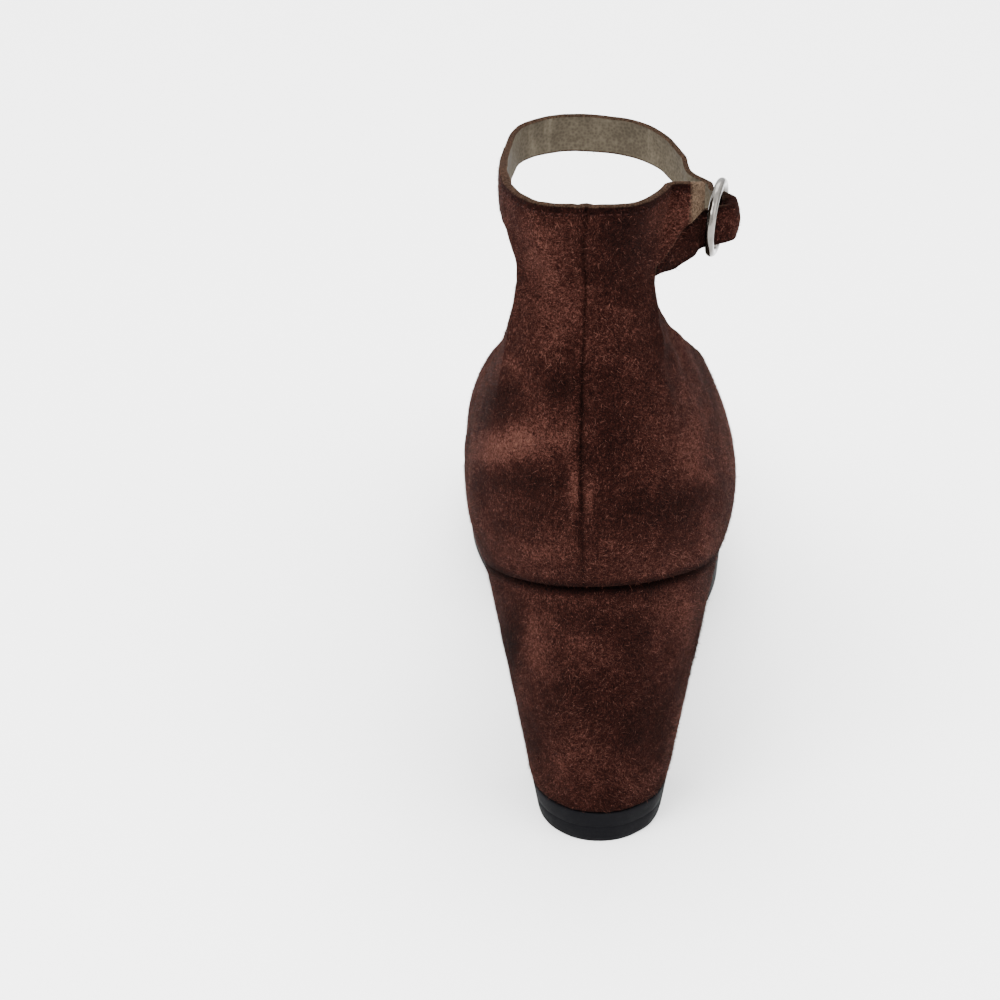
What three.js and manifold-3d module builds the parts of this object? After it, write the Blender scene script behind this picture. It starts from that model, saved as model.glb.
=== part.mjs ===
// Platform sandal with a closed back and an ankle strap, right foot.
// Millimetres, +Z up, toe towards +Y, outer side of the foot towards +X.
import * as THREE from 'three';
import { mergeVertices } from 'three/addons/utils/BufferGeometryUtils.js';
import Module from 'manifold-3d';

const wasm = await Module();
wasm.setup();

// Driving sizes
const WALL = 1.8; // suede with its lining
const GAP = 0.3; // between pieces that meet
const SEAT_HALF = 28.5; // half the width of the heel seat
const SEAT_CANT = 1.3; // the seat's outer edge stands higher than its inner edge, each by this much
const CANT_END = 95; // where along the shoe the cant has died out
const BREAST_Y = 52; // front of the heel at its top
const LIFT_HEIGHT = 8;
const HEEL_INSET = 0.6; // heel block inside the edge of the upper
const HEEL_FOOT = { centre: 0.6, back: 4.6, half: 15.3, depth: 34 }; // outline on the floor
const PLATFORM_PROUD = 0.8; // platform outside the edge of the upper
const PLATFORM_DRAFT = 2.2; // platform narrower at the floor
const PLATFORM_ROUND = 3; // rounded lower edge
const INSOLE = 2.5;
const INSOLE_CLEAR = 0.7; // insole to the inside of the upper
const STRAP_ROOT_WIDTH = 10.2; // where it grows out of the neck
const STRAP_WIDTH = 8.8;
const STRAP_NARROWS = 40; // length over which the strap reaches its even width
const TIP_LENGTH = 7;
const TIP_NARROW = 0.5; // share of its width that the strap loses at its tip
const STRAP_BLEND = 12; // length over which the neck's edge turns into the strap
const NECK_EDGE = 24; // station of the neck's two edges
const HEEL_SIDE = 44; // station where the heel's round back turns into the straight sides
const THROAT = 136; // station of the vamp's throat
const TOE_OPENING = 236; // station of the open toe's edge
const TOE_TIP = 256;
const TOP_EASE = 9; // stations over which the turn from neck to quarter is eased
const RING = { x: 26, y: 31, z: 152.6, tall: 8.4, long: 8.4, wire: 1.1, bar: 0.8 };
const MIDDLE = { x: -2.45, y: 117.69 }; // middle of the shoe's plan, where the origin goes
const RING_TURN = -0.2; // how the strap drifts inwards for each unit that it runs back, at the ring
const SEAM = { lip: 0.45, apart: 2.4, lip_width: 1.1, groove: 0.25, groove_width: 0.9 }; // back seam

// Fineness of the faceted surfaces
const WALL_LEVELS = 13;
const STRAP_STEPS = 66;
const HEEL_POINTS = 44;
const HEEL_LEVELS = 6;
const SOLE_STEPS = 40;
const INSOLE_STEPS = 46;

// Rows of a short table as objects with named columns
function table(columns, rows) {
  return rows.map((row) => Object.fromEntries(columns.map((name, i) => [name, row[i]])));
}

// Height of the feather line, where upper and sole meet, along the shoe
const FEATHER = table(['y', 'z'], [
  [0, 72], [25, 68], [50, 62.5], [80, 52.5], [110, 41], [140, 31], [165, 26.5], [190, 26],
  [215, 28.5], [240, 33],
]);

// Underside of the sole along the shoe: shank, rear slope of the platform, flat tread and toe spring
const UNDERSIDE = table(['y', 'z'], [
  [52, 56.8], [66, 51], [82, 42.5], [97, 31.5], [110, 17.5], [121, 5.5], [130, 0.6], [137, 0],
  [150, 0], [170, 0], [190, 0], [204, 0.9], [220, 4], [240, 10],
]);

// Feather line in plan: inner and outer side at each station counted from the back seam
const OUTLINE = table(['station', 'inner_x', 'inner_y', 'outer_x', 'outer_y'], [
  [0, -3.5, 0.3, -3.5, 0.3],
  [10, -13, 3.3, 6.2, 0.8],
  [20, -22, 10.9, 15, 4.6],
  [32, -27.3, 21.6, 24.4, 13.8],
  [46, -28.6, 36, 29, 28],
  [70, -27, 62, 29.6, 52],
  [104, -23, 96, 26, 86],
  [136, -29, 130, 28.6, 118],
  [170, -37.4, 164, 33.6, 148],
  [194, -38.4, 190, 32.2, 178],
  [222, -33.5, 216, 24.6, 208],
  [236, -24.5, 230.5, 12.5, 226.5],
  [246, -17, 236.6, 4, 235],
  [256, -7, 239, -7, 239],
]);

// Top line of the quarters from the neck's edges to the throat
const TOP_LINE = table(['station', 'inner_x', 'outer_x', 'y', 'z'], [
  [24, -19.6, 11.9, 14, 143],
  [28, -20.6, 12.9, 17, 135.8],
  [33, -21.8, 16, 22.5, 128.8],
  [40, -23.4, 20.2, 33, 120.5],
  [48, -25, 23, 47, 112.2],
  [60, -26.2, 24.4, 64, 103.2],
  [76, -25.6, 23.8, 82, 96],
  [94, -22.6, 19.6, 98, 90.6],
  [112, -17, 12, 111.5, 86.8],
  [122, -13, 6, 119, 85],
  [130, -9, 0, 123.6, 84],
  [136, -5, -5, 125, 83.5],
]);

// Ridge of the vamp from the throat to the open toe
const RIDGE = table(['station', 'x', 'y', 'z'], [
  [136, -5, 125, 83.5], [170, -7.5, 153, 71], [194, -9, 176, 62],
  [222, -10.5, 202, 53.5], [236, -11, 212, 50.5],
]);

// How each section of the wall leaves the feather line and reaches its top
const SECTIONS = table(['station', 'inner_flare', 'outer_flare', 'rise', 'over', 'drop'], [
  [0, 7.5, 7.5, 22, 8.7, 30],
  [20, 7.2, 7.4, 21, 7, 29],
  [34, 7.4, 6.4, 18.5, 7.4, 22],
  [46, 7.2, 6, 16.5, 9, 18],
  [70, 6.8, 5.2, 15, 7.5, 16],
  [94, 7, 4, 15, 8, 13],
  [112, 4.5, 3.5, 20, 12, 6],
  [136, 2, 2.5, 23, 17, 0.8],
  [170, 0.8, 1.5, 23, 20, 0],
  [194, 1, 1, 20.5, 18.5, 0],
  [222, 0.5, 0.5, 16, 15, 0],
  [236, 0, 0, 11, 13, 0],
]);

// Neck above the counter, up to the collar's edge; square tells how flat its back is
const NECK = table(['z', 'back_y', 'edge_y', 'inner_x', 'outer_x', 'square'], [
  [143, 6, 14, -19.6, 11.9, 2.2],
  [147, 6, 14.3, -19.8, 12, 2.4],
  [151, 5.6, 15, -21, 12.5, 2.8],
  [154.5, 5.2, 16.6, -22.2, 13.3, 3.3],
  [157.9, 4.7, 17.8, -22.8, 14.2, 3.7],
  [161.3, 4.3, 18.5, -22.9, 14.9, 4],
  [164.7, 4, 18.8, -23, 15.3, 4],
]);
const STRAP_ROW = 3; // first neck row that runs on into the strap
const EAR_ROW = 1; // first neck row that runs on into the ear

// Middle line of the ankle strap from the neck's inner edge round the front to the buckle
const STRAP = table(['x', 'y', 'z'], [
  [-22.4, 17.8, 159.6], [-24.2, 28, 159.8], [-23.6, 44, 159.6], [-20.4, 61, 159.4], [-10, 69.6, 159.1],
  [4.4, 68.4, 158.7], [13.2, 61, 158.2], [18.8, 50.6, 156], [20.4, 44.6, 154.2],
]);

// The same strap threaded through the ring: along it, out of its plane, and up from its middle
const THREADED = table(['along', 'out', 'up'], [
  [-8.6, -2.7, 0.6], [-6.2, -1.9, 0.5], [-4.3, 1.4, 0.3], [-2.2, 4.8, 0.1],
  [1.6, 5.2, -0.2], [4.2, 1, -0.6], [6.2, -2.3, -1.1], [8.6, -3.4, -2.2],
]);
const STRAP_TIP = table(['x', 'y', 'z'], [[17.6, 21.7, 148.6], [12.2, 17.8, 145.3]]);
const EAR_END = { x: 20, y: 19.5, low: 155.6, high: 164.8 };
const EAR_TAB = { x: 23, y: 25.3, low: 156.8, high: 162.8 };

// Smooth curve through one column of a table
function smooth(rows, key, name) {
  const at = rows.map((row) => row[key]);
  const value = rows.map((row) => row[name]);
  const last = at.length - 1;
  const slope = at.map((_, i) => {
    const before = Math.max(i - 1, 0);
    const after = Math.min(i + 1, last);
    return (value[after] - value[before]) / (at[after] - at[before]);
  });
  return (x) => {
    let i = 0;
    while (i < last - 1 && x > at[i + 1]) i += 1;
    const span = at[i + 1] - at[i];
    const t = THREE.MathUtils.clamp((x - at[i]) / span, 0, 1);
    const t2 = t * t;
    const t3 = t2 * t;
    return (2 * t3 - 3 * t2 + 1) * value[i] + (t3 - 2 * t2 + t) * span * slope[i]
      + (3 * t2 - 2 * t3) * value[i + 1] + (t3 - t2) * span * slope[i + 1];
  };
}

const featherHeight = smooth(FEATHER, 'y', 'z');
const undersideCurve = smooth(UNDERSIDE, 'y', 'z');
const undersideHeight = (y) => Math.max(undersideCurve(y), 0);

// Height of the last's bottom, canted across the heel seat
function seatHeight(x, y) {
  const fade = 1 - THREE.MathUtils.smoothstep(y, BREAST_Y / 2, CANT_END);
  return featherHeight(y) + SEAT_CANT * fade * (x / SEAT_HALF);
}

// Feather line as one closed run: inner side has minus stations, outer side plus stations
function signedOutline() {
  const inner = OUTLINE.slice(1).map((r) => ({ station: -r.station, x: r.inner_x, y: r.inner_y })).reverse();
  const outer = OUTLINE.map((r) => ({ station: r.station, x: r.outer_x, y: r.outer_y }));
  const beforeTip = OUTLINE[OUTLINE.length - 2];
  const wrap = 2 * TOE_TIP - beforeTip.station;
  return [
    { station: -wrap, x: beforeTip.outer_x, y: beforeTip.outer_y },
    ...inner,
    ...outer,
    { station: wrap, x: beforeTip.inner_x, y: beforeTip.inner_y },
  ];
}
const outlineX = smooth(signedOutline(), 'station', 'x');
const outlineY = smooth(signedOutline(), 'station', 'y');

// Direction in plan that points out of the shoe
function outward(station) {
  const step = 0.5;
  const dx = outlineX(station + step) - outlineX(station - step);
  const dy = outlineY(station + step) - outlineY(station - step);
  return new THREE.Vector3(dy, -dx, 0).normalize();
}

// Point of the feather line, moved inwards by inset
function featherPoint(station, inset = 0) {
  const point = new THREE.Vector3(outlineX(station), outlineY(station), 0);
  point.addScaledVector(outward(station), -inset);
  point.z = seatHeight(point.x, point.y);
  return point;
}

// Station on one side of the shoe (-1 inner, 1 outer) that lies at y
function stationAt(side, y) {
  let low = 0;
  let high = THROAT;
  for (let i = 0; i < 40; i += 1) {
    const middle = (low + high) / 2;
    if (outlineY(side * middle) < y) low = middle;
    else high = middle;
  }
  return side * low;
}

// Neck surface: across from -1 at the inner edge to 1 at the outer edge
function neckPoint(across, row) {
  const { z, back_y, edge_y, inner_x, outer_x, square } = NECK[row];
  const x = THREE.MathUtils.lerp(inner_x, outer_x, (across + 1) / 2);
  return new THREE.Vector3(x, back_y + (edge_y - back_y) * Math.abs(across) ** square, z);
}

const topLine = Object.fromEntries(
  ['inner_x', 'outer_x', 'y', 'z'].map((name) => [name, smooth(TOP_LINE, 'station', name)]),
);
const ridge = Object.fromEntries(['x', 'y', 'z'].map((name) => [name, smooth(RIDGE, 'station', name)]));
const section = Object.fromEntries(
  ['inner_flare', 'outer_flare', 'rise', 'over', 'drop']
    .map((name) => [name, smooth(SECTIONS, 'station', name)]),
);

// Top end of the section at a station: foot of the neck, top line or vamp ridge
function sectionTop(station) {
  const s = Math.abs(station);
  if (s <= NECK_EDGE) return neckPoint(station / NECK_EDGE, 0);
  if (s >= THROAT) return new THREE.Vector3(ridge.x(s), ridge.y(s), ridge.z(s));
  const x = station < 0 ? topLine.inner_x(s) : topLine.outer_x(s);
  return new THREE.Vector3(x, topLine.y(s), topLine.z(s));
}

// Middle of the section tops round a station, which keeps the corner under the neck's edge soft
function easedTop(station) {
  const near = steps(station - TOP_EASE, station + TOP_EASE, 8).map(sectionTop);
  return near.reduce((sum, p) => sum.add(p), new THREE.Vector3()).divideScalar(near.length);
}

// Raised lips of the back seam with the stitched groove between them
function seamLift(station) {
  const lips = SEAM.lip * Math.exp(-(((Math.abs(station) - SEAM.apart) / SEAM.lip_width) ** 2));
  return lips - SEAM.groove * Math.exp(-((station / SEAM.groove_width) ** 2));
}

// Wall section at a station, as a cubic from the feather line to its top
function wallCurve(station) {
  const s = Math.abs(station);
  const side = Math.sign(station);
  const out = outward(station);
  const lean = s < HEEL_SIDE ? out : new THREE.Vector3(side, 0, 0);
  const flare = station < 0 ? section.inner_flare(s) : section.outer_flare(s);
  const start = featherPoint(station);
  const end = sectionTop(station);
  const first = start.clone().addScaledVector(out, flare);
  first.z += section.rise(s);
  const second = easedTop(station).addScaledVector(lean, section.over(s));
  second.z -= section.drop(s);
  return new THREE.CubicBezierCurve3(start, first, second, end);
}

// Open sheet of triangles that shares its points
class Sheet {
  constructor() {
    this.points = [];
    this.faces = [];
    this.level = new Set(); // points whose wall is cut off level
    this.known = new Map();
  }

  point(p) {
    const key = [p.x, p.y, p.z].map((v) => Math.round(v * 1e3)).join(' ');
    if (!this.known.has(key)) {
      this.known.set(key, this.points.length);
      this.points.push(p.clone());
    }
    return this.known.get(key);
  }

  face(a, b, c) {
    if (a !== b && b !== c && c !== a) this.faces.push([a, b, c]);
  }

  // columns[i][j]: i runs along the shoe's outside, j runs up
  grid(columns) {
    const ids = columns.map((column) => column.map((p) => this.point(p)));
    for (let i = 0; i + 1 < ids.length; i += 1) {
      for (let j = 0; j + 1 < ids[i].length; j += 1) {
        this.face(ids[i][j], ids[i + 1][j], ids[i + 1][j + 1]);
        this.face(ids[i][j], ids[i + 1][j + 1], ids[i][j + 1]);
      }
    }
    return ids;
  }

  normals() {
    const sums = this.points.map(() => new THREE.Vector3());
    this.faces.forEach(([a, b, c]) => {
      const ab = this.points[b].clone().sub(this.points[a]);
      const ac = this.points[c].clone().sub(this.points[a]);
      const normal = ab.cross(ac);
      [a, b, c].forEach((i) => sums[i].add(normal));
    });
    this.level.forEach((i) => sums[i].setZ(0));
    return sums.map((sum) => sum.normalize());
  }

  // Closed wall between the sheet and its copy moved inwards
  thicken(wall) {
    const normals = this.normals();
    const count = this.points.length;
    const inner = this.points.map((p, i) => p.clone().addScaledVector(normals[i], -wall));
    const faces = this.faces.flatMap(([a, b, c]) => [[a, b, c], [a + count, c + count, b + count]]);
    const directed = new Set(this.faces.flatMap(([a, b, c]) => [`${a} ${b}`, `${b} ${c}`, `${c} ${a}`]));
    directed.forEach((edge) => {
      const [a, b] = edge.split(' ').map(Number);
      if (directed.has(`${b} ${a}`)) return;
      faces.push([b, a, a + count], [b, a + count, b + count]);
    });
    return closedGeometry([...this.points, ...inner], faces);
  }
}

function closedGeometry(points, faces) {
  const geometry = new THREE.BufferGeometry();
  const flat = points.flatMap((p) => [p.x, p.y, p.z]);
  geometry.setAttribute('position', new THREE.Float32BufferAttribute(flat, 3));
  geometry.setIndex(faces.flat());
  return geometry;
}

function toSolid(geometry) {
  const bare = geometry.clone();
  bare.deleteAttribute('normal');
  bare.deleteAttribute('uv');
  const welded = mergeVertices(bare, 1e-3);
  return new wasm.Manifold(new wasm.Mesh({
    numProp: 3,
    vertProperties: new Float32Array(welded.attributes.position.array),
    triVerts: new Uint32Array(welded.index.array),
  }));
}

function toGeometry(solid) {
  const mesh = solid.getMesh();
  const geometry = new THREE.BufferGeometry();
  geometry.setAttribute('position', new THREE.BufferAttribute(mesh.vertProperties, 3));
  geometry.setIndex(new THREE.BufferAttribute(mesh.triVerts, 1));
  return geometry;
}

// Even steps from one value to another, both ends kept
function steps(from, to, count) {
  return Array.from({ length: count + 1 }, (_, i) => THREE.MathUtils.lerp(from, to, i / count));
}

// Stations of the upper's sections on one side: close at the seam, wider along the shoe
function sideStations() {
  return [
    1.2, 2.4, 3.8, 6, 9.5, 13, 16.8, 20.5,
    ...steps(NECK_EDGE, HEEL_SIDE + 4, 9),
    ...steps(HEEL_SIDE + 4, THROAT, 16).slice(1),
    ...steps(THROAT, TOE_OPENING, 18).slice(1),
  ];
}

// Counter, quarters and vamp, from the inner side of the open toe round the heel to the outer side
function addLastedWall(sheet) {
  const side = sideStations();
  const stations = [...side.map((s) => -s).reverse(), 0, ...side];
  const columns = stations.map((station) => {
    const curve = wallCurve(station);
    const lift = seamLift(station);
    return steps(0, 1, WALL_LEVELS).map((t) => {
      const point = curve.getPoint(t);
      return point.addScaledVector(outward(station), lift * Math.sin(Math.PI * Math.min(t, 0.5)));
    });
  });
  sheet.grid(columns).forEach((column) => sheet.level.add(column[0]));
}

// Neck between its two edges, on the same stations as the counter
function addNeck(sheet) {
  const side = sideStations().filter((s) => s <= NECK_EDGE);
  const stations = [...side.map((s) => -s).reverse(), 0, ...side];
  sheet.grid(stations.map((station) => NECK.map((_, row) => {
    const point = neckPoint(station / NECK_EDGE, row);
    return point.addScaledVector(outward(station), seamLift(station));
  })));
}

// A run of points by its length, as smooth curves
function runOf(rows) {
  let length = 0;
  const measured = rows.map((row, i) => {
    if (i > 0) length += Math.hypot(row.x - rows[i - 1].x, row.y - rows[i - 1].y, row.z - rows[i - 1].z);
    return { ...row, length };
  });
  const [x, y, z] = ['x', 'y', 'z'].map((name) => smooth(measured, 'length', name));
  return { length, at: (d) => new THREE.Vector3(x(d), y(d), z(d)) };
}

// Ring directions: along the strap towards the back, and out of the ankle
const ringAlong = new THREE.Vector3(RING_TURN, -Math.sqrt(1 - RING_TURN ** 2), 0);
const ringOut = new THREE.Vector3(-ringAlong.y, ringAlong.x, 0);
const ringCentre = new THREE.Vector3(RING.x, RING.y, RING.z);

function threadedPoint({ along, out, up }) {
  const point = ringCentre.clone().addScaledVector(ringAlong, along).addScaledVector(ringOut, out);
  point.z += up;
  return point;
}

const ACROSS_STRAP = NECK.length - STRAP_ROW;

// Ankle strap from the neck's inner edge through the ring to its tip
function addStrap(sheet) {
  const run = runOf([...STRAP, ...THREADED.map(threadedPoint), ...STRAP_TIP]);
  const start = run.at(0);
  const columns = steps(0, run.length, STRAP_STEPS).map((d) => {
    const middle = run.at(d);
    const narrow = THREE.MathUtils.smoothstep(d, 0, STRAP_NARROWS);
    const tip = 1 - TIP_NARROW * THREE.MathUtils.smoothstep(d, run.length - TIP_LENGTH, run.length);
    const width = THREE.MathUtils.lerp(STRAP_ROOT_WIDTH, STRAP_WIDTH, narrow) * tip;
    const blend = 1 - THREE.MathUtils.smoothstep(d, 0, STRAP_BLEND);
    return steps(-0.5, 0.5, ACROSS_STRAP - 1).map((across, i) => {
      const point = middle.clone();
      point.z += across * width;
      const rooted = neckPoint(-1, STRAP_ROW + i).sub(start);
      rooted.z -= across * STRAP_ROOT_WIDTH;
      return point.addScaledVector(rooted, blend);
    });
  });
  sheet.grid(columns.reverse());
}

// Ear of the neck's outer edge, narrowing to the tab that holds the ring
function addEar(sheet) {
  const rows = NECK.length - EAR_ROW;
  const root = steps(0, 1, rows - 1).map((_, i) => neckPoint(1, EAR_ROW + i));
  const rung = ({ x, y, low, high }) => steps(low, high, rows - 1).map((z) => new THREE.Vector3(x, y, z));
  const end = rung(EAR_END);
  const tab = rung(EAR_TAB);
  const body = steps(0, 1, 4).map((t) => root.map((p, i) => {
    const point = p.clone().lerp(end[i], t);
    point.z = THREE.MathUtils.lerp(p.z, end[i].z, THREE.MathUtils.smoothstep(t, 0, 1));
    return point;
  }));
  sheet.grid([...body, ...steps(0, 1, 2).slice(1).map((t) => end.map((p, i) => p.clone().lerp(tab[i], t)))]);
}

function upperGeometry() {
  const sheet = new Sheet();
  addLastedWall(sheet);
  addNeck(sheet);
  addStrap(sheet);
  addEar(sheet);
  return sheet.thicken(WALL);
}

// Closed solid between matching rings of points, capped across by rungs from one side to the other
function ringStack(rings) {
  const n = rings[0].length;
  const points = rings.flat();
  const faces = [];
  for (let level = 0; level + 1 < rings.length; level += 1) {
    for (let i = 0; i < n; i += 1) {
      const a = level * n + i;
      const b = level * n + ((i + 1) % n);
      faces.push([a, b, b + n], [a, b + n, a + n]);
    }
  }
  const top = (rings.length - 1) * n;
  for (let i = 0; i < n / 2 - 1; i += 1) {
    const j = n - 1 - i;
    faces.push([i, j, j - 1], [i, j - 1, i + 1]);
    faces.push([top + i, top + j - 1, top + j], [top + i, top + i + 1, top + j - 1]);
  }
  return closedGeometry(points, faces.filter(([a, b, c]) => a !== b && b !== c && c !== a));
}

// Heel column from the floor outline to the seat; levelAt gives a point's height from its seat height
function heelRing(levelAt) {
  const from = stationAt(-1, BREAST_Y);
  const to = stationAt(1, BREAST_Y);
  return steps(from, to, HEEL_POINTS - 1).map((station) => {
    const seat = featherPoint(station, HEEL_INSET);
    seat.z -= GAP;
    const foot = new THREE.Vector3(
      HEEL_FOOT.centre + seat.x * (HEEL_FOOT.half / SEAT_HALF),
      HEEL_FOOT.back + seat.y * (HEEL_FOOT.depth / BREAST_Y),
      0,
    );
    const level = levelAt(seat.z);
    return foot.lerp(seat, level / seat.z);
  });
}

function heelGeometry() {
  const low = LIFT_HEIGHT + GAP;
  return ringStack(steps(0, 1, HEEL_LEVELS).map((t) => heelRing((top) => THREE.MathUtils.lerp(low, top, t))));
}

function liftGeometry() {
  return ringStack([0, LIFT_HEIGHT].map((level) => heelRing(() => level)));
}

// Ring of the sole from the heel breast along the inner side, round the toe and back along the outer side
function soleRing(inset, levelAt) {
  const back = BREAST_Y + GAP + PLATFORM_PROUD;
  const inner = steps(stationAt(-1, back), -TOE_TIP, SOLE_STEPS);
  const outer = steps(TOE_TIP, stationAt(1, back), SOLE_STEPS);
  const ring = [...inner.slice(0, -1), ...outer.slice(1)].map((station) => {
    const point = featherPoint(station, inset);
    const top = point.z - GAP;
    point.z = levelAt(undersideHeight(point.y), top);
    return point;
  });
  return ring.reverse();
}

function soleGeometry() {
  const round = (angle) => ({
    inset: PLATFORM_DRAFT + PLATFORM_ROUND * (1 - Math.cos(angle)),
    height: PLATFORM_ROUND * (1 - Math.sin(angle)),
  });
  const edge = steps(Math.PI / 2, 0, 3).map(round);
  const rings = edge.map(({ inset, height }) => (
    soleRing(inset - PLATFORM_PROUD, (bottom, top) => bottom + Math.min(height, (top - bottom) / 2))
  ));
  rings.push(soleRing(-PLATFORM_PROUD, (_, top) => top));
  return ringStack(rings);
}

function insoleGeometry() {
  const inset = WALL + INSOLE_CLEAR;
  const inner = steps(-1, -TOE_TIP, INSOLE_STEPS);
  const outer = steps(TOE_TIP, 1, INSOLE_STEPS);
  const ring = (lift) => [...inner.slice(0, -1), ...outer.slice(1)].map((station) => {
    const point = featherPoint(station, inset);
    point.z += lift;
    return point;
  }).reverse();
  return ringStack([ring(0), ring(INSOLE)]);
}

// Round wire ring with the upright bar that the strap passes over
function buckleGeometry() {
  const ring = new THREE.TorusGeometry(1, RING.wire / RING.tall, 10, 40);
  ring.scale(RING.long, RING.tall, RING.tall);
  const bar = new THREE.CylinderGeometry(RING.bar, RING.bar, 2 * RING.tall, 10);
  const up = new THREE.Vector3(0, 0, 1);
  const turned = new THREE.Matrix4().makeBasis(ringAlong, up, ringOut.clone().negate());
  turned.setPosition(ringCentre);
  const buckle = toGeometry(toSolid(ring).add(toSolid(bar)));
  return buckle.applyMatrix4(turned);
}

function piece(name, geometry, color, roughness, metalness = 0) {
  const mesh = new THREE.Mesh(geometry, new THREE.MeshStandardMaterial({ color, roughness, metalness }));
  mesh.name = name;
  return mesh;
}

const sandal = new THREE.Group();
sandal.add(
  piece('upper', upperGeometry(), 0x41221d, 0.95),
  piece('insole', insoleGeometry(), 0x6f6659, 0.7),
  piece('platform_sole', soleGeometry(), 0x1f2024, 0.55),
  piece('heel_block', heelGeometry(), 0x3a1f1a, 0.95),
  piece('top_lift', liftGeometry(), 0x1f2024, 0.6),
  piece('buckle', buckleGeometry(), 0xc9c2bb, 0.25, 1),
);
sandal.position.set(-MIDDLE.x, -MIDDLE.y, 0);

export default sandal;
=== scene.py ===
import math

import bpy
import numpy as np
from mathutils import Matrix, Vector


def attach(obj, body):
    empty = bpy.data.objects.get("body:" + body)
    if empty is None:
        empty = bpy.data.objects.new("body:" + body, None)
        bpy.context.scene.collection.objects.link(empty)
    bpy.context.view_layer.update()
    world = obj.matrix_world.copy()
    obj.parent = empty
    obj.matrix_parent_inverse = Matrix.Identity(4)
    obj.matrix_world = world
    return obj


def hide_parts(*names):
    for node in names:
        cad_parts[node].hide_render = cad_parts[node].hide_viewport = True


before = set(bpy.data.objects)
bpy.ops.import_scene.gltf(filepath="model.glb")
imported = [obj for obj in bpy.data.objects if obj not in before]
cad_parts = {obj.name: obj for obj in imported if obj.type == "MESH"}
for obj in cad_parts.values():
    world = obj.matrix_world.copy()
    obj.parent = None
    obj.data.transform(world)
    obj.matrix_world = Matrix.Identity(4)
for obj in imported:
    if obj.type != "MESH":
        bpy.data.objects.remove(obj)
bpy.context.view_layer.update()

# Sizes in millimetres, as in the solids unless a comment says otherwise
WALL = 1.8
GAP = 0.3
MIDDLE = np.array([-2.45, 117.69, 0])

# Heel and lift
SEAT_HALF = 28.5
SEAT_CANT = 1.3
CANT_END = 95
BREAST_Y = 52
LIFT_HEIGHT = 8
HEEL_INSET = 0.6
HEEL_STEPS = 200
FOOT_CENTRE, FOOT_BACK, FOOT_HALF, FOOT_DEPTH = 0.6, 4.6, 15.3, 34

# Platform and insole
PLATFORM_PROUD = 0.8
PLATFORM_DRAFT = 2.2
PLATFORM_ROUND = 3
INSOLE = 2.5
INSOLE_CLEAR = 0.7

# Ankle strap
STRAP_ROOT_WIDTH = 10.2
STRAP_WIDTH = 8.8
STRAP_NARROWS = 40
STRAP_BLEND = 12
STRAP_THICK = 1.2
STRAP_ROOT_EXTRA = 0.9
LOOP_EXTRA = 2.2
STRAP_CROWN = 0.45
LOOP_CROWN = 0.5
TIP_LENGTH = 7
TIP_NARROW = 0.5

# Stations along the feather line
NECK_EDGE = 24
HEEL_SIDE = 44
THROAT = 136
TOE_OPENING = 236
TOE_TIP = 256
TOP_EASE = 9
TOP_EASE_STEPS = 9

# Back seam
SEAM_LIP = 0.5
SEAM_LIP_AT = 2.3
SEAM_LIP_WIDE = 1.05
SEAM_GROOVE_WIDE = 0.6
SEAM_FRONT = 30

# Ring, a little smaller than the solid's and leaning
RING = np.array([26, 31, 152.6])
RING_RADIUS = 8.2
RING_LEAN = 0.08
RING_WIRE = 1.1
RING_BAR = 0.8
RING_TURN = -0.2
RING_STEPS, WIRE_STEPS, BAR_STEPS = 96, 24, 33

# Stitches below the collar's edge
STITCH_DROP = 1.6
STITCH_LONG = 1.3
STITCH_PITCH = 1.9
STITCH_RADIUS = 0.2
STITCH_FIRST = 1.2
STITCH_RINGS, STITCH_SIDES = 9, 8

# Rolled edge and the lasting margin that is turned under the sock
EDGE_ROLL = 0.45
EDGE_STEPS = 6
MARGIN_INSETS = (0.4, WALL, 4.0)
MARGIN_DROP = 0.13
MARGIN_STEPS = 480

# Loose fibres of the nap
UPPER_FIBRES = 150000
HEEL_FIBRES = 60000
FIBRE_HALF_WIDTH = 0.035
FIBRE_ROOT = 0.05
LONG_HALF_WIDTH = 0.06
LONG_FACTOR = 1.6
LONG_HAIRS = 0.2  # share of fibres that are longer and thicker
DARK_HAIRS = 0.5  # share of those that are darker than the nap, while the rest are paler
# the pale tone is painted highlight of light caught on the long hairs
DARK_TONE, PALE_TONE = -2.2, 0.7

# View of the photograph: picture size and focal length in pixels, point looked at and distance in metres
PICTURE = 1000
SENSOR = 36
LOOK_AT = np.array([-0.02195, -0.07769, 0.075])
DISTANCE = 0.88
AZIMUTH = math.radians(2)
ELEVATION = math.radians(25.5)
FOCAL = 3620

# Puckers beside the seam: place in the picture, half width and half height
PUCKER = (566, 345, 17, 46)

# y, z
FEATHER = np.array([
    (0, 72), (25, 68), (50, 62.5), (80, 52.5), (110, 41), (140, 31), (165, 26.5), (190, 26),
    (215, 28.5), (240, 33),
])
# y, z
UNDERSIDE = np.array([
    (52, 56.8), (66, 51), (82, 42.5), (97, 31.5), (110, 17.5), (121, 5.5), (130, 0.6), (137, 0),
    (150, 0), (170, 0), (190, 0), (204, 0.9), (220, 4), (240, 10),
])
# station, inner x, inner y, outer x, outer y
OUTLINE = np.array([
    (0, -3.5, 0.3, -3.5, 0.3), (10, -13, 3.3, 6.2, 0.8), (20, -22, 10.9, 15, 4.6),
    (32, -27.3, 21.6, 24.4, 13.8), (46, -28.6, 36, 29, 28), (70, -27, 62, 29.6, 52),
    (104, -23, 96, 26, 86), (136, -29, 130, 28.6, 118), (170, -37.4, 164, 33.6, 148),
    (194, -38.4, 190, 32.2, 178), (222, -33.5, 216, 24.6, 208), (236, -24.5, 230.5, 12.5, 226.5),
    (246, -17, 236.6, 4, 235), (256, -7, 239, -7, 239),
])
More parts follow.
